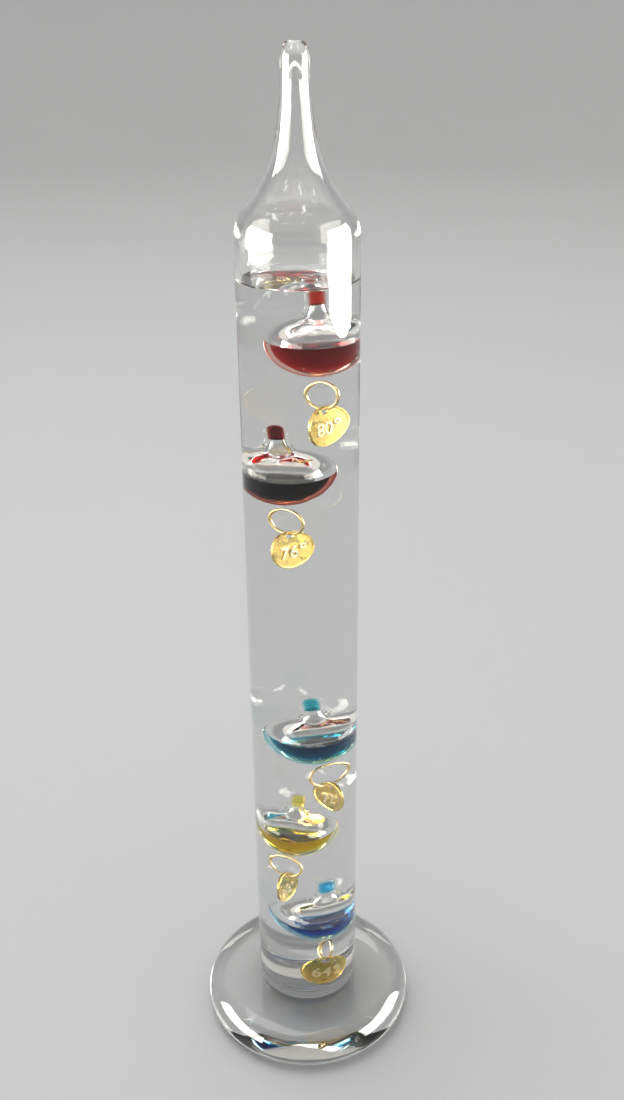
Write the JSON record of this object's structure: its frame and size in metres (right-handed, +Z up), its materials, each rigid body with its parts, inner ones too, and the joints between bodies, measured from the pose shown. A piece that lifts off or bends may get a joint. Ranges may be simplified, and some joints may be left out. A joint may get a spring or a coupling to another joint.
{
  "type": "galileo thermometer",
  "caption": "Sealed glass cylinder on a round glass foot, filled with clear liquid and holding glass floats with coloured liquid, each with a brass ring and numbered tag.",
  "frame": {"origin": "middle of the foot's underside", "axes": "+Z up along the cylinder, -Y towards the front from which the numbers are read"},
  "size_m": [0.0732, 0.0732, 0.329],
  "materials": {
    "clear_glass": "clear, polished, drawn",
    "foot_glass": "clear, thick, fire-polished",
    "float_glass": "clear, blown",
    "clear_bond": "clear cured adhesive, not glass",
    "clear_liquid": "clear hydrocarbon liquid, not glass",
    "dye_80": "red dyed liquid, not glass",
    "dye_76": "red-black dyed liquid, not glass",
    "dye_72": "teal-navy dyed liquid, not glass",
    "dye_68": "olive-yellow dyed liquid, not glass",
    "dye_64": "blue dyed liquid, not glass",
    "brass": "thin bright brass, stamped"
  },
  "bodies": {
    "case": {"glass_foot": "foot_glass", "foot_bond": "clear_bond", "glass_cylinder": "clear_glass", "neck_seal": "clear_glass", "fluid": "clear_liquid"},
    "float_80": {"bulb_80": "float_glass", "stem_seal_80": "float_glass", "stem_dye_80": "dye_80", "dye_80": "dye_80"},
    "ring_80": {"ring_80": "brass"},
    "tag_80": {"tag_80": "brass"},
    "float_76": {"bulb_76": "float_glass", "stem_seal_76": "float_glass", "stem_dye_76": "dye_76", "dye_76": "dye_76"},
    "ring_76": {"ring_76": "brass"},
    "tag_76": {"tag_76": "brass"},
    "float_72": {"bulb_72": "float_glass", "stem_seal_72": "float_glass", "stem_dye_72": "dye_72", "dye_72": "dye_72"},
    "ring_72": {"ring_72": "brass"},
    "tag_72": {"tag_72": "brass"},
    "float_68": {"bulb_68": "float_glass", "stem_seal_68": "float_glass", "stem_dye_68": "dye_68", "dye_68": "dye_68"},
    "ring_68": {"ring_68": "brass"},
    "tag_68": {"tag_68": "brass"},
    "float_64": {"bulb_64": "float_glass", "stem_seal_64": "float_glass", "stem_dye_64": "dye_64", "dye_64": "dye_64"},
    "ring_64": {"ring_64": "brass"},
    "tag_64": {"tag_64": "brass"}
  },
  "joints": [
    {"name": "travel_80", "type": "slide", "parent": "case", "child": "float_80", "axis": [0, 0, 1], "range_m": [-0.045, 0]},
    {"name": "ring_swing_80", "type": "hinge", "parent": "float_80", "child": "ring_80", "pos_m": [0.00424, 0.003, 0.23916], "axis": [-0.8287, 0.559, -0.0289], "range_deg": [-8, 8]},
    {"name": "tag_swing_80", "type": "hinge", "parent": "ring_80", "child": "tag_80", "pos_m": [0.00452, 0.003, 0.23116], "axis": [0.8904, -0.4542, 0.0311], "range_deg": [-14, 14]},
    {"name": "travel_76", "type": "slide", "parent": "case", "child": "float_76", "axis": [0, 0, 1], "range_m": [-0.045, 0]},
    {"name": "ring_swing_76", "type": "hinge", "parent": "float_76", "child": "ring_76", "pos_m": [-0.00281, 0.0036, 0.19968], "axis": [-0.7188, 0.6942, -0.0377], "range_deg": [-8, 8]},
    {"name": "tag_swing_76", "type": "hinge", "parent": "ring_76", "child": "tag_76", "pos_m": [-0.0024, 0.0036, 0.19169], "axis": [0.7307, -0.6822, 0.0255], "range_deg": [-14, 14]},
    {"name": "travel_72", "type": "slide", "parent": "case", "child": "float_72", "axis": [0, 0, 1], "range_m": [0, 0.045]},
    {"name": "ring_swing_72", "type": "hinge", "parent": "float_72", "child": "ring_72", "pos_m": [0.00388, 0.0035, 0.10661], "axis": [-0.8061, -0.5857, -0.0847], "range_deg": [-6, 6]},
    {"name": "tag_swing_72", "type": "hinge", "parent": "ring_72", "child": "tag_72", "pos_m": [0.00471, 0.0035, 0.09866], "axis": [-0.8064, -0.5887, -0.0564], "range_deg": [-12, 12]},
    {"name": "travel_68", "type": "slide", "parent": "case", "child": "float_68", "axis": [0, 0, 1], "range_m": [0, 0.045]},
    {"name": "ring_swing_68", "type": "hinge", "parent": "float_68", "child": "ring_68", "pos_m": [-0.00418, -0.0015, 0.07091], "axis": [-0.8269, 0.5577, 0.0723], "range_deg": [-6, 6]},
    {"name": "tag_swing_68", "type": "hinge", "parent": "ring_68", "child": "tag_68", "pos_m": [-0.00487, -0.0015, 0.06294], "axis": [0.866, -0.5, 0], "range_deg": [-12, 12]},
    {"name": "travel_64", "type": "slide", "parent": "case", "child": "float_64", "axis": [0, 0, 1], "range_m": [0, 0.045]},
    {"name": "ring_swing_64", "type": "hinge", "parent": "float_64", "child": "ring_64", "pos_m": [0.0037, 0.0032, 0.03065], "axis": [-0.4286, 0.8061, -0.4081], "range_deg": [-4, 2]},
    {"name": "tag_swing_64", "type": "hinge", "parent": "ring_64", "child": "tag_64", "pos_m": [0.00395, -0.0003, 0.02346], "axis": [0.1793, -0.5723, 0.8002], "range_deg": [-10, 10]}
  ],
  "couplings": [
    {"joint": "travel_80", "follows": "travel_76", "ratio": 1},
    {"joint": "travel_68", "follows": "travel_72", "ratio": 1},
    {"joint": "travel_64", "follows": "travel_72", "ratio": 1}
  ]
}
